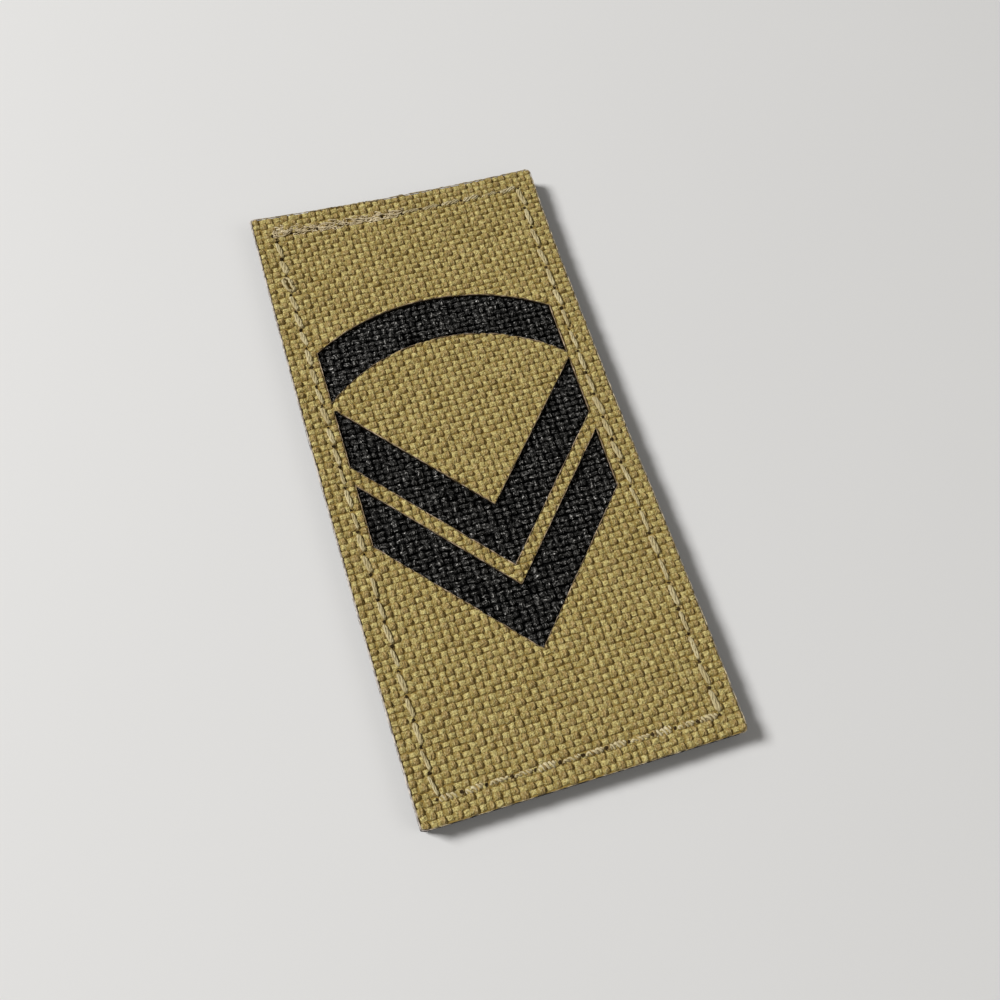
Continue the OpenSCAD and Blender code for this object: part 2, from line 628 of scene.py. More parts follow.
def crown(name, half_across, half_along, rise, bulge, flatness, strands, strand_depth, steps):
    """The crest of a yarn between two crossings, its length along Y, with a flat foot."""
    across = strands * 4
    mesh = bpy.data.meshes.new(name)
    verts, yarn = [], []
    for j in range(steps + 1):
        lengthways = math.sin(math.pi / 2 * (2 * j / steps - 1))
        for i in range(across + 1):
            sideways = math.sin(math.pi / 2 * (2 * i / across - 1))
            arch = (1 - abs(lengthways) ** 3) ** 0.7 * math.sqrt(1 - abs(sideways) ** flatness)
            groove = 1 - abs(math.sin(strands * math.pi * i / across))
            x = sideways * half_across * (1 - bulge * lengthways * lengthways)
            y = lengthways * half_along
            height = (rise + CROWN_FOOT - strand_depth * groove) * arch - CROWN_FOOT
            verts.append((x, y, height))
            yarn.append((sideways * half_across, y, arch))
    row = across + 1
    faces = [
        (j * row + i, j * row + i + 1, (j + 1) * row + i + 1, (j + 1) * row + i)
        for j in range(steps) for i in range(across)
    ]
    near = list(range(row))
    right = [j * row + across for j in range(1, steps + 1)]
    far = [steps * row + i for i in range(across - 1, -1, -1)]
    left = [j * row for j in range(steps - 1, 0, -1)]
    faces.append(tuple(reversed(near + right + far + left)))
    mesh.from_pydata(verts, [], faces)
    mesh.shade_smooth()
    attribute = mesh.attributes.new("yarn", "FLOAT_VECTOR", "POINT")
    attribute.data.foreach_set("vector", np.array(yarn, dtype=np.float32).ravel())
    mesh.attributes.new("foot", "FLOAT", "FACE").data[len(faces) - 1].value = 1
    return new_piece(name, mesh)


def outer_part(net, x, y):
    """1 along the patch's outline, 0 further in, so that the windows' edges are told from it."""
    to_side = half_width - x.maths("ABSOLUTE")
    to_end = half_length - y.maths("ABSOLUTE")
    inner, outer = OUTLINE_MARGIN + OUTLINE_BLEND, OUTLINE_MARGIN - OUTLINE_BLEND
    return net.span(to_side.least(to_end), inner, outer)


def jolts(net, place, scale):
    """Three uneven numbers about zero, which move a point to all sides."""
    return [part - 0.5 for part in net.split(net.noise(place, scale, 2).output("Color"))]


def weave_tree():
    """Sets a crown at every other crossing of the cloth, and cuts the crowns off at its edge."""
    net, given = new_tree(
        "plain_weave", crown="Object", seam="Object", weft="Float", shift="Float", columns="Int",
        rows="Int", column_pitch="Float", row_pitch="Float", sink="Float", open="Float", poke="Float",
        sway="Float", least="Float", lumps="Float", seed="Int", filament="Material",
    )
    cloth, weft = given["geometry"], given["weft"]
    rim, level = bounds_of_cut(net, cloth)
    column, row = marked(net, "column"), marked(net, "row")
    own_yarn = weft * row + (1 - weft) * column
    cell = column + row * ROW_NUMBERS

    def scatter(low, high, number, salt):
        return chance(net, low, high, number, given["seed"] + salt)

    on_top = ((column + row + weft) / 2).maths("FRACT") > 0.25
    sockets = {0: lattice(net, given), 1: on_top}
    points = net.add("GeometryNodeSeparateGeometry", {"domain": "POINT"}, sockets)
    place = position(net)
    x, y, _ = net.split(place)
    lies_x, lies_y = as_it_lies(x, y)
    wave_x = (net.noise(place, 90, 1) - 0.5) * CLOTH_DRIFT
    wave_y = (net.noise(place, 70, 1) - 0.5) * CLOTH_DRIFT
    drift_x = scatter(-COLUMN_STRAY, COLUMN_STRAY, column, 1) + wave_x
    drift_y = scatter(-ROW_STRAY, ROW_STRAY, row, 2) + wave_y
    spot = net.vector(
        lies_x + drift_x + scatter(-CROWN_STRAY, CROWN_STRAY, cell, 3) + weft * given["shift"],
        lies_y + drift_y + scatter(-CROWN_STRAY, CROWN_STRAY, cell, 4), level,
    )
    points = mark(
        net, points, warp=1 - weft, shade=scatter(0, 1, cell, 5), yarn_shade=scatter(0, 1, own_yarn, 6)
    )
    points = net.add("GeometryNodeSetPosition", inputs={0: points, 2: spot})

    hit, foot = over_cloth(net, cloth, level)
    keep = (hit + (distance_to(net, rim, foot) < KEEP_REACH)) > 0.5
    sway = net.vector(
        scatter(-0.1, 0.1, cell, 7), scatter(-0.1, 0.1, cell, 8),
        scatter(-1, 1, cell, 9) * given["sway"] + weft * (math.pi / 2),
    )
    size = net.vector(
        scatter(given["least"], 1.12, cell, 10) * scatter(0.94, 1.06, own_yarn, 11),
        scatter(given["least"], 1.16, cell, 12), scatter(0.7, 1.2, cell, 13),
    )
    turned = net.add("FunctionNodeEulerToRotation", inputs={0: sway})
    sockets = {0: points, 1: keep, 2: shape_of(net, given["crown"]), 5: turned, 6: size}
    laid = net.add("GeometryNodeInstanceOnPoints", inputs=sockets)
    real = net.add("GeometryNodeRealizeInstances", inputs={0: laid})

    x, y, z = net.split(position(net))
    own_place = net.vector(x, y, z + marked(net, "shade") * NOISE_SHIFT)
    lump_x, lump_y, lump_z = jolts(net, own_place, 1000)
    arch = net.split(marked(net, "yarn", "FLOAT_VECTOR"))[2]
    give = given["lumps"] * (0.4 + arch * 0.6)
    real = moved(net, real, net.vector(lump_x * give * 2, lump_y * give * 2, lump_z * give * 1.4))

    x, y, _ = net.split(position(net))
    seam = shape_of(net, given["seam"])
    here = net.vector(x, y, face_high[2])
    groove = net.span(distance_to(net, seam, here), GROOVE_REACH, GROOVE_FLOOR)
    hole = net.add("GeometryNodeProximity", {"target_element": "POINTS"}, {0: seam, 2: here})
    pit = net.span(hole.output("Distance"), NEEDLE_REACH, 0.0)
    aside = here - hole
    real = mark(net, real, kind="FLOAT_VECTOR", from_hole=aside * (1 / MM))
    push_x, push_y, _ = net.split(aside.maths("NORMALIZE") * (pit * given["open"]))
    real = moved(net, real, net.vector(push_x, push_y, -given["sink"] * groove))

    hit, foot = over_cloth(net, cloth, level)
    near = net.add("GeometryNodeProximity", {"target_element": "EDGES"}, {0: rim, 2: foot})
    x, y, z = net.split(position(net))
    poke = net.span(net.noise(foot, 900, 2), 0.45, 0.7) * given["poke"] * outer_part(net, x, y)
    beyond = (foot - near).maths("NORMALIZE") * poke.least(near.output("Distance"))
    edge_x, edge_y, _ = net.split(near + beyond)
    trimmed = net.vector(hit * x + (1 - hit) * edge_x, hit * y + (1 - hit) * edge_y, z)
    real = mark(net, real, kind="FLOAT_VECTOR", from_cut=(foot - near) * hit * (1 / MM))
    real = mark(net, real, overhang=1 - hit)
    real = net.add("GeometryNodeSetPosition", inputs={0: real, 2: trimmed})

    hit, foot = over_cloth(net, cloth, level)
    x, y, _ = net.split(foot)
    reach = given["poke"] * outer_part(net, x, y) + TRIM_SLACK
    bridge = marked(net, "foot") * marked(net, "overhang") > 0.01
    stray = (1 - hit) * (distance_to(net, rim, foot) > reach) + bridge > 0.5
    real = net.add("GeometryNodeDeleteGeometry", {"domain": "FACE", "mode": "ALL"}, {0: real, 1: stray})
    end_tree(net, real, given["filament"])
    return net


def weave(name, cut, crowns, **values):
    """Both yarn systems of one cloth, each a piece of its own."""
    pieces = []
    for system, single, weft in zip(("warp", "weft"), crowns, (0.0, 1.0)):
        pieces.append(grow(
            f"{name}_{system}", cut.copy(), plain_weave, crown=single, weft=weft, shift=WEFT_SHIFT,
            seam=seam_line, columns=COLUMNS, rows=ROWS, column_pitch=COLUMN_PITCH,
            row_pitch=ROW_PITCH, **values,
        ))
    return pieces


def apart(net, offset):
    """How many millimetres a point of the crowns lies from a hole or a cut."""
    return net.painted(offset, "Vector").maths("LENGTH").output("Value")


def yarn_streaks(net, shade, pitch):
    """Fine filaments, and the loose strands they are drawn together in, which run along each yarn."""
    across, along, arch = net.split(net.painted("yarn", "Vector"))
    fine = net.noise(net.vector(across * 9, along, shade * 0.13), 900, 2)
    wander = net.noise(net.vector(across * 2, along, shade * 0.11), 1100, 1) - 0.5
    turn = (across + wander * pitch * 1.6) * (2 * math.pi / pitch) + shade * 40
    breaks = net.span(net.noise(net.vector(across * 3, along, shade * 0.07), 1000, 1), 0.36, 0.56)
    return fine, (turn.maths("SINE") * 0.5 + 0.5) * breaks, (across, along, arch)


def black_yarn():
    """Black nylon filaments. Painted highlights: grey glints on the crowns; painted shade: near black in
    the gaps.
    """
    material, net = new_material("black_weave_yarn")
    shade = net.painted("shade")
    fine, strands, (_, _, arch) = yarn_streaks(net, shade, BLACK_STRAND)
    glints = net.span(net.noise(net.place(), 4200, 2), 0.42, 0.56)
    lumps = net.span(net.noise(net.place(), 2400, 2), 0.4, 0.58)
    # Painted highlight and shade: grey glints on the high parts of the crowns, near black where they fall
    # into the gaps.
    painted_highlight = net.span(arch, 0.5, 0.85) * (0.65 + shade * 0.35) * (0.2 + net.span(strands, 0.3, 0.85) * 0.8)
    painted_highlight = painted_highlight * (0.22 + lumps * 0.78) * (0.3 + net.span(fine, 0.38, 0.52) * 0.7) * (0.22 + glints * 0.78)
    colour = net.mix(painted_highlight, (0.001, 0.001, 0.001, 1), (0.88, 0.855, 0.80, 1))
    feed(
        net, Base_Color=colour, Roughness=0.5 + fine * 0.15, Specular_IOR_Level=0.05,
        Normal=net.bump(fine * 0.3 + strands * 1.3 + glints * 0.6 + lumps, 1.0, 0.18 * MM),
    )
    return material


def black_ground():
    """What shows deep between the black crowns, and the layer's cut edge."""
    material, net = new_material("black_weave_ground")
    place = net.place()
    mottle = net.noise(place, 1500, 3)
    layers = net.span(net.noise(place * (1.0, 1.0, 5.0), 900, 3), 0.35, 0.65)
    colour = net.mix(mottle * layers, (0.002, 0.002, 0.002, 1), (0.024, 0.024, 0.024, 1))
    feed(
        net, Base_Color=colour, Roughness=0.8, Specular_IOR_Level=0.1,
        Normal=net.bump(mottle + layers, 0.8, 0.14 * MM),
    )
    return material


def window_shape():
    """The windows alone, filled: what the outline has and the face has not."""
    face = cut_shape("face_panel")
    outer_x = max(vert.co.x for vert in face.verts)
    windows = bmesh.new()
    unused = set(rim_of(face))
    while unused:
        loop = []
        ends = [next(iter(unused)).verts[0]]
        while ends:
            for edge in ends.pop().link_edges:
                if edge in unused:
                    unused.remove(edge)
                    loop.append(edge)
                    ends += edge.verts
        if max(vert.co.x for edge in loop for vert in edge.verts) > outer_x - OUTLINE_MARGIN:
            continue
        corners = {vert for edge in loop for vert in edge.verts}
        copies = {vert: windows.verts.new(vert.co) for vert in corners}
        edges = [windows.edges.new([copies[vert] for vert in edge.verts]) for edge in loop]
        bmesh.ops.triangle_fill(windows, edges=edges, use_beauty=True, normal=(0, 0, 1))
    face.free()
    return windows


inlay_low, inlay_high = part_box("inlay_panel")
inlay_shape = cut_shape("inlay_panel")
inlay = cloth_slab("black_layer", inlay_shape, inlay_low[2], inlay_high[2], black_ground())
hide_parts("inlay_panel")
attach(inlay, "root")

black_crowns = [
    crown("black_warp_crown", **BLACK_WARP_CROWN), crown("black_weft_crown", **BLACK_WEFT_CROWN)
]
plain_weave = weave_tree()
window_cut = flat_mesh("window_cut", window_shape(), inlay_high[2] + INLAY_SWELL)
black_yarns = weave(
    "black_weave", window_cut, black_crowns, sink=0.0, open=0.0, poke=0.0, sway=BLACK_SWAY,
    least=BLACK_LEAST, lumps=BLACK_LUMPS, seed=3, filament=black_yarn(),
)
for piece in black_yarns:
    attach(piece, "root")


# Tan face
# Heavy tan plain weave, coated underneath. A laser cuts the windows and melts the yarn ends there
# into a thin scorched lip. A paler, frayed lip runs round the outline, grey on the left side.

FACE_GROUND_DROP = 0.42 * MM
TAN_SWAY = 0.14
TAN_LEAST = 0.86
TAN_LUMPS = 0.24 * MM
TAN_STRAND = 0.36 * MM
SEAM_SINK = 0.13 * MM
NEEDLE_HOLE = 0.17 * MM
HOLE_SIDES = 8
HOLE_GRAIN = 0.25 * MM
YARN_GIVE = 0.1 * MM
EDGE_POKE = 0.16 * MM
LIP_WIDTH = 0.06 * MM
LIP_HEIGHT = 0.17 * MM
LIP_DROP = 0.27 * MM
LIP_OUT = 0.06 * MM
LIP_WAVE = 0.08 * MM
LIP_LIFT = 0.22 * MM
LIP_RAGGED = 0.2 * MM
LIP_STEP = 0.2 * MM
LIP_SIDES = 6
LIP_SHADE = (0.15 * MM, 0.35 * MM)
WALL_SHADE = (0.1 * MM, 0.3 * MM)
GROUND_SHADE = (0.02 * MM, 0.25 * MM)
LEFT_EDGE = (-20 * MM, -22 * MM)
TOP_EDGE = (45 * MM, 46 * MM)
BOTTOM_EDGE = (-45 * MM, -46 * MM)
WARP_SPLIT = (-0.25 * MM, 0.1 * MM)
# Painted shade on the warp crowns' left and right flanks.
WARP_LEFT_FLANK_SHADE = (-0.38 * MM, -0.52 * MM)
WARP_RIGHT_FLANK_SHADE = (0.3 * MM, 0.48 * MM)
# Painted shade at the weft crowns' ends, where they meet the warp crowns.
WEFT_END_SHADE = (0.33 * MM, 0.46 * MM)
TAN_CROWN = {"flatness": 2.8, "strands": 2, "steps": 5}
TAN_WARP_CROWN = TAN_CROWN | {
    "half_across": 0.70 * MM, "half_along": 0.58 * MM, "rise": 0.45 * MM, "bulge": 0.25,
    "strand_depth": 0.10 * MM,
}
TAN_WEFT_CROWN = TAN_CROWN | {
    "half_across": 0.47 * MM, "half_along": 0.72 * MM, "rise": 0.29 * MM, "bulge": 0.16,
    "strand_depth": 0.05 * MM,
}


def pierced(shape, holes, radius):
    """The shape with a small opening at each needle hole that is clear of those before it."""
    corners, faces = [], []
    for face in shape.faces:
        faces.append([len(corners) + i for i in range(len(face.verts))])
        corners += [vert.co.xy / MM for vert in face.verts]
    whole = set(range(len(faces)))
    made = []
    for x, y in holes:
        if any(math.hypot(x - made_x, y - made_y) < 3 * radius for made_x, made_y in made):
            continue
        made.append((x, y))
        centre = Vector((x, y, 0))
        faces.append([len(corners) + i for i in range(HOLE_SIDES)])
        for i in range(HOLE_SIDES):
            angle = 2 * math.pi * i / HOLE_SIDES
            way = Vector((math.cos(angle), math.sin(angle), 0))
            reach = radius * (1 + 0.6 * noise.noise((centre + way * radius) / HOLE_GRAIN))
            corners.append((centre + way * reach).xy / MM)
    places, _, triangles, _, _, origins = geometry.delaunay_2d_cdt(corners, [], faces, 1, 0.001)
    cloth = bmesh.new()
    verts = [cloth.verts.new((x * MM, y * MM, 0)) for x, y in places]
    for triangle, origin in zip(triangles, origins):
        if origin and whole.issuperset(origin):
            cloth.faces.new([verts[i] for i in triangle])
    loose = [vert for vert in cloth.verts if not vert.link_faces]
    bmesh.ops.delete(cloth, geom=loose, context="VERTS")
    return cloth


def below_face(net, z, depths):
    """0 down to the first depth under the top of the face, 1 from the second one on."""
    return net.span(z, face_high[2] - depths[0], face_high[2] - depths[1])


def melted_colour(net):
    """Melted yarn ends: scorched at the windows with painted shade lower down, straw and grey outside."""
    place = net.place()
    beads = net.noise(place, 1300, 3)
    scorch = net.noise(place, 350, 3)
    x, y, z = net.split(place)
    window = net.mix(net.span(beads, 0.4, 0.65), (0.27, 0.19, 0.115, 1), (0.64, 0.50, 0.34, 1))
    window = net.mix(net.span(scorch, 0.42, 0.58) * 0.7, window, (0.15, 0.10, 0.05, 1))
    # Painted shade: near black lower down the windows' walls.
    window = net.mix(below_face(net, z, LIP_SHADE) * 0.9, window, (0.02, 0.013, 0.008, 1))
    outline = net.mix(net.span(beads, 0.35, 0.65), (0.26, 0.20, 0.12, 1), (0.60, 0.51, 0.34, 1))
    left = net.mix(net.span(beads, 0.35, 0.6), (0.27, 0.235, 0.21, 1), (0.60, 0.54, 0.48, 1))
    outline = net.mix(net.span(x, *LEFT_EDGE), outline, left)
    return net.mix(outer_part(net, x, y), window, outline), beads


def tan_yarn():
    """Tan nylon: pale yellowish weft and browner warp, with painted shade on the crowns' flanks and ends,
    in the crevices, the needle holes and the window walls.
    """
    material, net = new_material("tan_weave_yarn")
    shade = net.painted("shade")
    tone = shade * 0.6 + net.painted("yarn_shade") * 0.4
    fine, strands, (across, along, arch) = yarn_streaks(net, shade, TAN_STRAND)
    knots = net.noise(net.place(), 4000, 2)
    tufts = net.noise(net.place(), 2300, 2)
    weft_colour = net.mix(tone, (0.61, 0.51, 0.195, 1), (0.71, 0.605, 0.24, 1))
    olive_strand = net.mix(tone, (0.39, 0.305, 0.10, 1), (0.50, 0.40, 0.14, 1))
    brown_strand = net.mix(tone, (0.475, 0.325, 0.125, 1), (0.575, 0.415, 0.18, 1))
    warp_colour = net.mix(net.span(across, *WARP_SPLIT), olive_strand, brown_strand)
    warp_colour = net.mix(net.span(shade, 0.75, 1) * 0.5, warp_colour, (0.33, 0.21, 0.09, 1))
    # Painted shade: the warp crowns' flanks darker, where the light falls off them and next to their
    # neighbours.
    flank_shade = net.span(across, *WARP_LEFT_FLANK_SHADE) * 0.75 + net.span(across, *WARP_RIGHT_FLANK_SHADE) * 0.75
    warp_colour = net.mix(flank_shade, warp_colour, (0.22, 0.15, 0.035, 1))
    # Painted shade: the weft crowns' ends darker, next to the warp crowns.
    weft_end_shade = net.span(along.maths("ABSOLUTE"), *WEFT_END_SHADE) * 0.75
    weft_colour = net.mix(weft_end_shade, weft_colour, (0.22, 0.15, 0.04, 1))
    colour = net.mix(net.painted("warp"), weft_colour, warp_colour)
    x, y, z = net.split(net.place())
    near_cut = net.span(apart(net, "from_cut"), 0.14, 0.04)
    # Painted shade in the needle holes, with a ragged edge.
    hole_shade_reach = apart(net, "from_hole") + (knots - 0.5) * 0.5
    # Painted shade: the yarn on the windows' cut walls near black below the top of the face.
    window_wall_shade = near_cut * below_face(net, z, WALL_SHADE) * (1 - outer_part(net, x, y)) * 0.85
    layers = [
        ((1 - strands) * 0.25, (0.26, 0.18, 0.05, 1)),
        (net.span(knots, 0.5, 0.4) * 0.5, (0.22, 0.15, 0.04, 1)),
        (net.span(knots, 0.53, 0.62) * 0.4, (0.68, 0.61, 0.32, 1)),
        (net.span(fine, 0.6, 0.8) * 0.35, (0.66, 0.59, 0.28, 1)),
        (net.span(tufts, 0.46, 0.34) * 0.45, (0.24, 0.16, 0.045, 1)),
        # Painted shade: darker where the crown falls towards its foot, in the crevices.
        (net.span(arch, 0.62, 0.08) * 0.6, (0.25, 0.17, 0.04, 1)),
        (near_cut * 0.5, melted_colour(net)[0]),
        (window_wall_shade, (0.03, 0.02, 0.01, 1)),
        (net.span(hole_shade_reach, 0.34, 0.16), (0.04, 0.024, 0.009, 1)),
    ]
    for share, tint in layers:
        colour = net.mix(share, colour, tint)
    feed(
        net, Base_Color=colour, Roughness=0.65 + fine * 0.2, Specular_IOR_Level=0.08,
        Normal=net.bump(fine * 0.3 + strands * 0.3 + knots + tufts * 2.2, 0.9, 0.15 * MM),
    )
    return material


def tan_ground():
    """What shows between the crowns: the tan yarn painted dark brown as shade. And the cloth's cut edge,
    melted, with painted shade lower down.
    """
    material, net = new_material("tan_weave_ground")
    mottle = net.noise(net.place(), 1500, 3)
    # Painted shade: the ground between the crowns is the tan yarn darkened and browned.
    colour = net.mix(mottle, (0.24, 0.16, 0.04, 1), (0.36, 0.25, 0.07, 1))
    melted, beads = melted_colour(net)
    # Painted shade: the cut edge near black below the ground's top.
    depth = face_ground - net.split(net.place())[2]
    melted = net.mix(net.span(depth, *GROUND_SHADE), melted, (0.015, 0.009, 0.004, 1))
    upright = net.split(net.add("ShaderNodeNewGeometry").output("Normal"))[2].maths("ABSOLUTE")
    colour = net.mix(net.span(upright, 0.8, 0.5), colour, melted)
    feed(
        net, Base_Color=colour, Roughness=0.75, Specular_IOR_Level=0.08,
        Normal=net.bump(mottle + beads, 0.5, 0.05 * MM),
    )
    return material


def melted_lip():
    """The yarn ends fused into beads, a little glossy."""
    material, net = new_material("melted_edge")
    colour, beads = melted_colour(net)
    feed(
        net, Base_Color=colour, Roughness=0.6 + beads * 0.2, Specular_IOR_Level=0.15,
        Normal=net.bump(beads, 0.5, 0.05 * MM),
    )
    return material


def lip_tree():
    """Runs a melted lip along the cut edges, higher than it is thick, but flatter at the outline."""
    net, given = new_tree(
        "melted_lip", thickness="Float", height="Float", drop="Float", ragged="Float",
        nylon="Material",
    )
    line = net.add("GeometryNodeMeshToCurve", inputs={0: given["geometry"]})
    place = position(net)
    wave = net.noise(place, 1400, 2) - 0.5
    lift = net.noise(place, 700, 2) - 0.5
    offset = net.vector(wave * LIP_WAVE, lift * LIP_WAVE, lift * LIP_LIFT - given["drop"])
    line = net.add("GeometryNodeSetCurveNormal", {"mode": "Z_UP"}, {0: moved(net, line, offset)})
    ring = net.add("GeometryNodeCurvePrimitiveCircle", inputs={0: LIP_SIDES, 4: 1.0})
    shape = net.vector(given["thickness"], given["height"], 1)
    ring = net.add("GeometryNodeTransform", inputs={0: ring, 3: shape})
    x, y, _ = net.split(place)
    outer = outer_part(net, x, y)
    broken = net.span(net.noise(place, 900, 2), 0.38, 0.62)
    melted = net.span(net.noise(place, 600, 2), 0.36, 0.64)
    ends = net.span(y, *TOP_EDGE) * 0.5 - net.span(y, *BOTTOM_EDGE) * 0.4
    at_outline = 0.4 + broken * 0.8 + net.span(x, *LEFT_EDGE) * 1.2 + ends
    thick = (0.4 + melted * 0.9) * (1 - outer) + at_outline * outer
    swept = net.add("GeometryNodeCurveToMesh", inputs={0: line, 1: ring, 2: thick, 3: True})
    above = net.split(place)[2] + given["drop"] - face_high[2]
    ragged = net.vector(*jolts(net, place, 1900)) * given["ragged"]
    flatter = ragged - net.vector(0, 0, above * outer * 0.55)
    end_tree(net, moved(net, swept, flatter), given["nylon"])
    return net


def rim_mesh(name, shape, height, out):
    """The cut edges of a shape alone, in short steps, its outline moved a little way outwards."""
    rim = shape.copy()
    ways = {vert: Vector() for vert in rim.verts}
    for edge in rim_of(rim):
        corner = edge.link_loops[0]
        along = (corner.link_loop_next.vert.co - corner.vert.co).normalized()
        for vert in edge.verts:
            ways[vert] += Vector((along.y, -along.x, 0))
    for vert, way in ways.items():
        if min(half_width - abs(vert.co.x), half_length - abs(vert.co.y)) < OUTLINE_MARGIN:
            vert.co += way.normalized() * out
    divide_rim(rim, LIP_STEP)
    inner = [edge for edge in rim.edges if len(edge.link_faces) > 1]
    bmesh.ops.delete(rim, geom=rim.faces[:], context="FACES_ONLY")
    bmesh.ops.delete(rim, geom=inner, context="EDGES")
    mesh = flat_mesh(name, rim, height)
    rim.free()
    return mesh


face_shape = cut_shape("face_panel")
face_ground = face_high[2] - FACE_GROUND_DROP
needle_holes = pierced(face_shape, [hole for row in all_rows for hole in row], NEEDLE_HOLE)
face = cloth_slab("tan_face", needle_holes, face_low[2], face_ground, tan_ground())
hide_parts("face_panel")
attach(face, "root")

tan_crowns = [crown("tan_warp_crown", **TAN_WARP_CROWN), crown("tan_weft_crown", **TAN_WEFT_CROWN)]
tan_yarns = weave(
    "tan_weave", flat_mesh("face_cut", face_shape, face_ground), tan_crowns, sink=SEAM_SINK,
    open=YARN_GIVE, poke=EDGE_POKE, sway=TAN_SWAY, least=TAN_LEAST, lumps=TAN_LUMPS, seed=7,
    filament=tan_yarn(),
)
lips = grow(
    "melted_lips", rim_mesh("face_rim", face_shape, face_high[2], LIP_OUT), lip_tree(),
    thickness=LIP_WIDTH, height=LIP_HEIGHT, drop=LIP_DROP, ragged=LIP_RAGGED, nylon=melted_lip(),
)
lips.data.shade_smooth()
for piece in tan_yarns + [lips]:
    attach(piece, "root")


# Border stitching
# Pale polyester thread in lockstitches of 3.3 to 3.8 mm, each worn into four loose strands. They
# arch over the face from one needle hole to the next and dive in, and the bobbin thread lies below.

UP = (0.0, 0.0, 1.0)
DOWN = (0.0, 0.0, -1.0)
THREAD_SUNK = 0.18 * MM
SIDE_SUNK = 0.1 * MM
BOTTOM_SUNK = 0.36 * MM
TOP_SUNK = 0.2 * MM
BAND_SUNK = 0.23 * MM
LOOSE_STITCH = 2
TOP_SEEN = 6
STRANDS = 4
STRAND_POINTS = 27
STRAND_SIDES = 6
THREAD_COLOURS = [(0.47, 0.39, 0.20, 1), (0.61, 0.53, 0.31, 1)]
# Painted light: the end rows' and the oversewn rows' thread is the border thread made paler, where its thin
# strands shade each other.
LIT_END_THREAD_COLOURS = [(0.50, 0.42, 0.23, 1), (0.64, 0.56, 0.35, 1)]
LIT_OVERSEWN_THREAD_COLOURS = [(0.58, 0.475, 0.285, 1), (0.77, 0.66, 0.44, 1)]
ANY_STITCH = {"arch": 0.14 * MM, "dive": 0.8 * MM, "phase": 0.0, "fan": 1.0, "fray": 0.32 * MM}
SIDE_STITCH = ANY_STITCH | {
    "ply": 0.15 * MM, "roll": 0.04 * MM, "slant": 0.15 * MM, "twists": -0.7, "spread": 0.18 * MM,
}
LOOP_STITCH = ANY_STITCH | {
    "ply": 0.19 * MM, "roll": 0.05 * MM, "slant": 0.2 * MM, "twists": 0.0, "spread": 0.58 * MM,
    "phase": 0.6,
}
BOTTOM_STITCH = ANY_STITCH | {
    "ply": 0.21 * MM, "roll": 0.18 * MM, "slant": 0.05 * MM, "twists": -2.2, "spread": 0.24 * MM,
    "fan": 2.0, "fray": 0.45 * MM,
}
TOP_STITCH = ANY_STITCH | {
    "ply": 0.105 * MM, "roll": 0.09 * MM, "slant": 0.1 * MM, "twists": 0.9, "spread": 0.2 * MM,
    "fray": 0.45 * MM,
}
BOBBIN_STITCH = ANY_STITCH | {
    "ply": 0.06 * MM, "roll": 0.05 * MM, "slant": 0.0, "twists": 1.0, "spread": 0.08 * MM,
}
OVERSEWN_STITCH = ANY_STITCH | {
    "ply": 0.085 * MM, "roll": 0.1 * MM, "slant": 0.3 * MM, "twists": -0.6, "spread": 0.44 * MM,
    "phase": 0.4, "fray": 0.6 * MM,
}


def thread_material(name, deep, pale):
    """Twisted polyester: pale, a little shiny, with short fibres."""
    material, net = new_material(name)
    place = net.place()
    x, y, z = net.split(place)
    fibres = net.noise(net.vector(x, y * 0.35, z), 6000, 2)
    tone = net.noise(place, 300, 2)
    colour = net.mix(net.span(tone, 0.3, 0.7), deep, pale)
    colour = net.mix(net.span(fibres, 0.55, 0.35) * 0.5, colour, (0.25, 0.17, 0.06, 1))
    feed(
        net, Base_Color=colour, Roughness=0.55 + fibres * 0.15, Specular_IOR_Level=0.15,
        Normal=net.bump(fibres, 0.4, 0.04 * MM),
    )
    return material


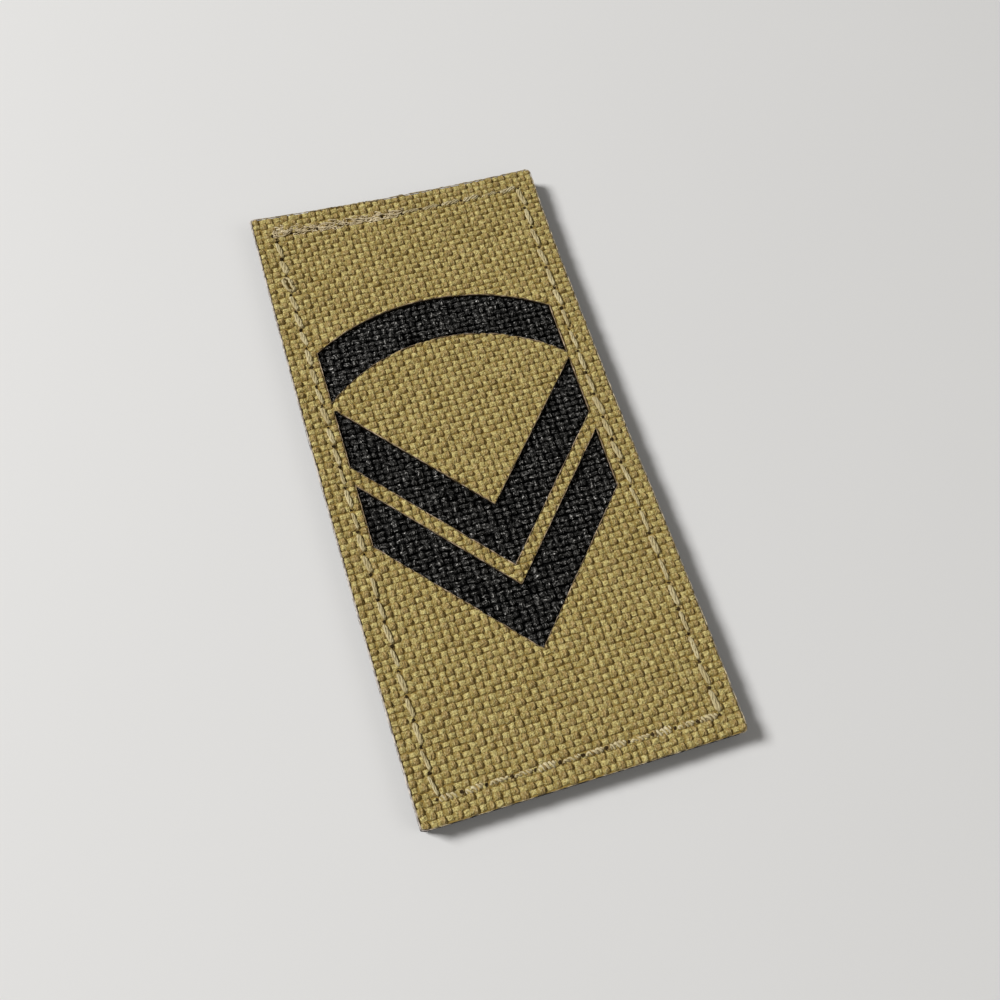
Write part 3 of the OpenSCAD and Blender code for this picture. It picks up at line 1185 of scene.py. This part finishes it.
def stitch_tree():
    """Lays one stitch of several strands along each edge of the seam."""
    net, given = new_tree(
        "lockstitch", up="Vector", ply="Float", roll="Float", arch="Float", dive="Float",
        slant="Float", spread="Float", twists="Float", phase="Float", fan="Float", fray="Float",
        seed="Int", thread="Material",
    )
    strands = net.tree.nodes.new("GeometryNodeJoinGeometry")
    for strand in range(STRANDS):
        step = 2 * math.pi * strand / STRANDS
        line = net.add("GeometryNodeCurvePrimitiveLine", inputs={0: (-0.5, 0, 0), 1: (0.5, 0, 0)})
        line = net.add("GeometryNodeResampleCurve", {"mode": "COUNT"}, {0: line, 2: STRAND_POINTS})
        x, _, _ = net.split(position(net))
        wander = net.noise(net.vector(x, step, 0), 5, 1) - 0.5
        turn = x * given["twists"] * (2 * math.pi) + given["fan"] * step + given["phase"] + wander * 2
        off_middle = (x * 2).maths("ABSOLUTE")
        ends = net.span(off_middle, 0.8, 1.0)
        loose = net.span(off_middle, 1.0, 0.5)
        over = (1 - ends) * given["arch"] - ends * given["dive"] + turn.maths("COSINE") * given["roll"]
        side = given["slant"] * x * 2 + turn.maths("SINE") * given["spread"] * loose
        bent = net.vector(x * 0.96, side, over)
        line = net.add("GeometryNodeSetPosition", inputs={0: line, 2: bent})
        ring = net.add("GeometryNodeCurvePrimitiveCircle", inputs={0: STRAND_SIDES, 4: given["ply"]})
        thick = 0.65 + loose * 0.35
        tube = net.add("GeometryNodeCurveToMesh", inputs={0: line, 1: ring, 2: thick, 3: True})
        net.tree.links.new(tube.socket, strands.inputs[0])
    stitch = Wire(net, strands.outputs[0])
    ends = net.add("GeometryNodeInputMeshEdgeVertices")
    span = ends.output("Position 2") - ends.output("Position 1")
    chain = mark(net, given["geometry"], "EDGE", "FLOAT_VECTOR", span=span)
    points = net.add("GeometryNodeMeshToPoints", {"mode": "EDGES"}, {0: chain})
    number = net.add("GeometryNodeInputIndex")

    def scatter(low, high, salt):
        return chance(net, low, high, number, given["seed"] + salt)

    way = marked(net, "span", "FLOAT_VECTOR")
    length = way.maths("LENGTH").output("Value")
    turned = net.add(
        "FunctionNodeAxesToRotation", {"primary_axis": "X", "secondary_axis": "Z"}, {0: way, 1: given["up"]}
    )
    swing = net.add("FunctionNodeEulerToRotation", inputs={0: net.vector(0, 0, scatter(-0.08, 0.08, 1))})
    turned = net.add("FunctionNodeRotateRotation", {"rotation_space": "LOCAL"}, {0: turned, 1: swing})
    size = net.vector(length * scatter(0.92, 1.02, 2), scatter(0.75, 1.45, 3), scatter(0.75, 1.25, 4))
    sockets = {0: points, 2: stitch, 5: turned, 6: size}
    laid = net.add("GeometryNodeInstanceOnPoints", inputs=sockets)
    real = net.add("GeometryNodeRealizeInstances", inputs={0: laid})
    fray_x, fray_y, fray_z = jolts(net, position(net), 1100)
    fray = net.vector(fray_x, fray_y, fray_z * 0.5) * given["fray"]
    end_tree(net, moved(net, real, fray), given["thread"])
    return net


def stitching(name, rows, height, up, seed, thread, values):
    """A piece of stitching over or under the patch."""
    start = seam_mesh(name + "_seam", rows, height)
    piece = grow(name, start, lockstitch, up=up, seed=seed, thread=thread, **values)
    piece.data.shade_smooth()
    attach(piece, "root")
    return piece


lockstitch = stitch_tree()
thread = thread_material("border_thread", *THREAD_COLOURS)
# Painted light: paler copies of the border thread for the end rows and the oversewn rows.
lit_end_thread = thread_material("end_row_thread_lit", *LIT_END_THREAD_COLOURS)
lit_oversewn_thread = thread_material("sewn_over_thread_lit", *LIT_OVERSEWN_THREAD_COLOURS)
on_face = face_high[2] - THREAD_SUNK
side_rows = [left_row[:LOOSE_STITCH + 1], left_row[LOOSE_STITCH + 1:], right_row]
loose_row = left_row[LOOSE_STITCH:LOOSE_STITCH + 2]
side_stitches = stitching("side_stitches", side_rows, on_face - SIDE_SUNK, UP, 2, thread, SIDE_STITCH)
bottom_stitches = stitching(
    "bottom_stitches", [bottom_row], on_face - BOTTOM_SUNK, UP, 4, lit_end_thread, BOTTOM_STITCH
)
top_stitches = stitching(
    "top_stitches", [top_row[:TOP_SEEN + 1]], on_face - TOP_SUNK, UP, 9, lit_end_thread, TOP_STITCH
)
loose_stitch = stitching("loose_stitch", [loose_row], on_face, UP, 6, thread, LOOP_STITCH)
oversewn = stitching(
    "oversewn_stitches", oversewn_rows, on_face - BAND_SUNK, UP, 7, lit_oversewn_thread, OVERSEWN_STITCH
)
bobbin_stitches = stitching("bobbin_stitches", all_rows, tape_bottom, DOWN, 8, thread, BOBBIN_STITCH)


def area_of(shape):
    return sum(face.calc_area() for face in shape.faces)


area_of(tape_shape)
area_of(inlay_shape)
area_of(face_shape)

for helper in [seam_line, under_seam_line, single_hook] + black_crowns + tan_crowns:
    bpy.data.objects.remove(helper)


# Room
# A pale table top, one soft light from the upper left, a weaker one opposite, and even light all
# round. The camera looks down at the patch from its lower left, as the photograph does.

FLOOR_HALF = 2.0
CAMERA_PLACE = Vector((-33.63, -56.31, 142.3)) * MM
CAMERA_FORWARD = Vector((0.22573, 0.32644, -0.91787))
CAMERA_UP = Vector((0.23732, 0.89537, 0.37681))
CAMERA_LENS = 38.94
CAMERA_SENSOR = 36
CAMERA_NEAREST = 0.01
EVEN_LIGHT = (1, 0.965, 0.9, 1)
EVEN_STRENGTH = 0.13


def floor_material():
    """A pale, matt table top, a little cloudy."""
    material, net = new_material("floor_pale")
    cloud = net.noise(net.place(), 6, 3)
    colour = net.mix(cloud, (0.76, 0.755, 0.745, 1), (0.82, 0.815, 0.805, 1))
    feed(net, Base_Color=colour, Roughness=0.7)
    return material


floor_mesh = bpy.data.meshes.new("floor")
floor_mesh.from_pydata(
    [(x * FLOOR_HALF, y * FLOOR_HALF, 0) for x, y in ((-1, -1), (1, -1), (1, 1), (-1, 1))],
    [], [(0, 1, 2, 3)],
)
floor_mesh.materials.append(floor_material())
floor = new_piece("floor", floor_mesh)


def soft_light(name, place, size, power):
    """A square light that faces the patch."""
    lamp = bpy.data.lights.new(name, "AREA")
    lamp.size = size
    lamp.energy = power
    light = bpy.data.objects.new(name, lamp)
    light.location = place
    light.rotation_euler = (-Vector(place)).to_track_quat("-Z", "Y").to_euler()
    bpy.context.scene.collection.objects.link(light)


soft_light("key_light", place=(-1.1, 0.56, 1.0), size=0.42, power=28.0)
soft_light("fill_light", place=(0.9, -0.7, 1.2), size=1.0, power=3.0)

world = bpy.data.worlds.new("even_light")
world.use_nodes = True
world.node_tree.nodes["Background"].inputs["Color"].default_value = EVEN_LIGHT
world.node_tree.nodes["Background"].inputs["Strength"].default_value = EVEN_STRENGTH
bpy.context.scene.world = world
bpy.context.scene.view_settings.view_transform = "Standard"

lens = bpy.data.cameras.new("camera")
lens.lens = CAMERA_LENS
lens.sensor_width = CAMERA_SENSOR
lens.clip_start = CAMERA_NEAREST
camera = bpy.data.objects.new("camera", lens)
right = CAMERA_FORWARD.cross(CAMERA_UP).normalized()
up = right.cross(CAMERA_FORWARD).normalized()
turn = Matrix((right, up, -CAMERA_FORWARD)).transposed().to_4x4()
camera.matrix_world = Matrix.Translation(CAMERA_PLACE) @ turn
bpy.context.scene.collection.objects.link(camera)
bpy.context.scene.camera = camera
